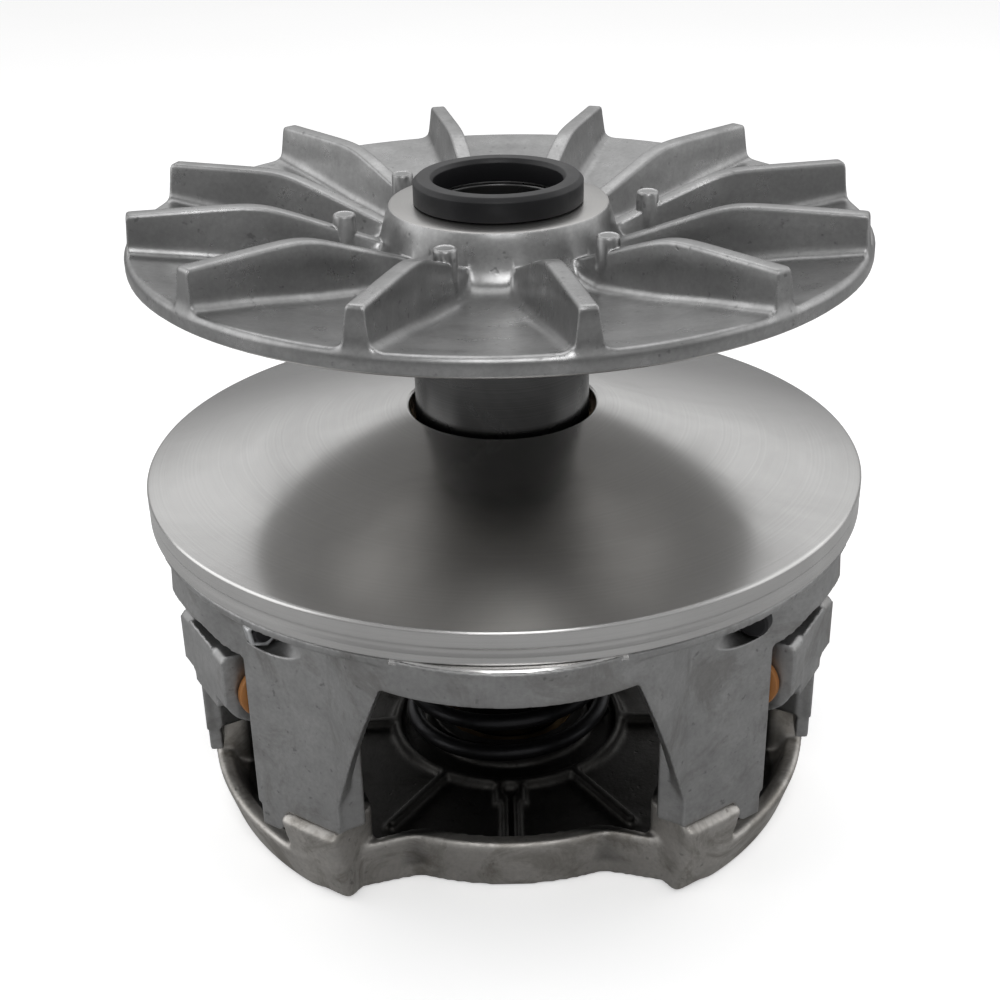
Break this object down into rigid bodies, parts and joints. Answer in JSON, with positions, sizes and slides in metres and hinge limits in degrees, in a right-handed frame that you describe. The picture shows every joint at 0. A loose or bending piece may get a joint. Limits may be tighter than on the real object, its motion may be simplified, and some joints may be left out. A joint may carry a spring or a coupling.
{
  "type": "cvt drive clutch",
  "caption": "Drive clutch of a belt CVT: finned fixed sheave, sliding sheave with six towers, roller spider, flyweights, spring and cover on a hollow centre post.",
  "frame": {"origin": "on the shaft axis, in the plane that the outer cover stands on", "axes": "+Z along the shaft towards the engine, -Y through the middle of one cover window, +X completes a right-handed frame"},
  "size_m": [0.2, 0.2022, 0.1802],
  "materials": {
    "cast_aluminium": "die-cast, satin, with bright rubbed edges",
    "machined_aluminium": "turned belt face and rim on a satin casting",
    "cover_casting": "die-cast, satin, slightly warm and stained",
    "dark_steel": "ground steel, smooth",
    "black_oxide": "black oxide, matte",
    "forged_steel": "forged steel, satin",
    "zinc_plate": "zinc plated steel",
    "bearing_bronze": "sintered bronze",
    "slider_polymer": "filled polymer, matte orange-brown",
    "spring_steel": "coated spring wire"
  },
  "bodies": {
    "shaft_group": {"center_post": "dark_steel", "shaft_collar": "black_oxide", "fixed_sheave": "cast_aluminium", "spider": "cast_aluminium", "spider_washer": "zinc_plate", "spider_nut": "black_oxide", "primary_spring": "spring_steel", "roller_pin_1": "dark_steel", "roller_pin_2": "dark_steel", "roller_pin_3": "dark_steel", "slider_button_1a": "slider_polymer", "slider_button_1b": "slider_polymer", "slider_button_2a": "slider_polymer", "slider_button_2b": "slider_polymer", "slider_button_3a": "slider_polymer", "slider_button_3b": "slider_polymer"},
    "movable_group": {"movable_sheave": "machined_aluminium", "sheave_bushing": "bearing_bronze", "cover": "cover_casting", "cover_bushing": "bearing_bronze", "cover_screw_1": "zinc_plate", "cover_screw_2": "zinc_plate", "cover_screw_3": "zinc_plate", "cover_screw_4": "zinc_plate", "cover_screw_5": "zinc_plate", "cover_screw_6": "zinc_plate", "pivot_bolt_1": "dark_steel", "pivot_bolt_2": "dark_steel", "pivot_bolt_3": "dark_steel", "pivot_nut_1": "zinc_plate", "pivot_nut_2": "zinc_plate", "pivot_nut_3": "zinc_plate"},
    "roller_body_1": {"roller_1": "dark_steel", "roller_bushing_1": "bearing_bronze"},
    "flyweight_body_1": {"flyweight_1": "forged_steel", "flyweight_bushing_1": "bearing_bronze"},
    "roller_body_2": {"roller_2": "dark_steel", "roller_bushing_2": "bearing_bronze"},
    "flyweight_body_2": {"flyweight_2": "forged_steel", "flyweight_bushing_2": "bearing_bronze"},
    "roller_body_3": {"roller_3": "dark_steel", "roller_bushing_3": "bearing_bronze"},
    "flyweight_body_3": {"flyweight_3": "forged_steel", "flyweight_bushing_3": "bearing_bronze"}
  },
  "joints": [
    {"name": "shift_slide", "type": "slide", "parent": "shaft_group", "child": "movable_group", "axis": [0, 0, 1], "range_m": [0, 0.028], "stiffness_N_per_m": 9000, "springref_m": -0.035, "deforming": ["primary_spring"]},
    {"name": "roller_spin_1", "type": "hinge", "parent": "shaft_group", "child": "roller_body_1", "pos_m": [0.07231, -0.04175, 0.0581], "axis": [0.5, 0.866, 0], "continuous": true},
    {"name": "flyweight_swing_1", "type": "hinge", "parent": "movable_group", "child": "flyweight_body_1", "pos_m": [0.07448, -0.043, 0.0811], "axis": [-0.5, -0.866, 0], "range_deg": [0, 24.2]},
    {"name": "roller_spin_2", "type": "hinge", "parent": "shaft_group", "child": "roller_body_2", "pos_m": [0, 0.0835, 0.0581], "axis": [-1, 0, 0], "continuous": true},
    {"name": "flyweight_swing_2", "type": "hinge", "parent": "movable_group", "child": "flyweight_body_2", "pos_m": [0, 0.086, 0.0811], "axis": [1, 0, 0], "range_deg": [0, 24.2]},
    {"name": "roller_spin_3", "type": "hinge", "parent": "shaft_group", "child": "roller_body_3", "pos_m": [-0.07231, -0.04175, 0.0581], "axis": [0.5, -0.866, 0], "continuous": true},
    {"name": "flyweight_swing_3", "type": "hinge", "parent": "movable_group", "child": "flyweight_body_3", "pos_m": [-0.07448, -0.043, 0.0811], "axis": [-0.5, 0.866, 0], "range_deg": [0, 24.2]}
  ],
  "couplings": [
    {"joint": "flyweight_swing_1", "follows": "shift_slide", "rad_per_m": 14.96},
    {"joint": "flyweight_swing_2", "follows": "shift_slide", "rad_per_m": 14.96},
    {"joint": "flyweight_swing_3", "follows": "shift_slide", "rad_per_m": 14.96}
  ]
}
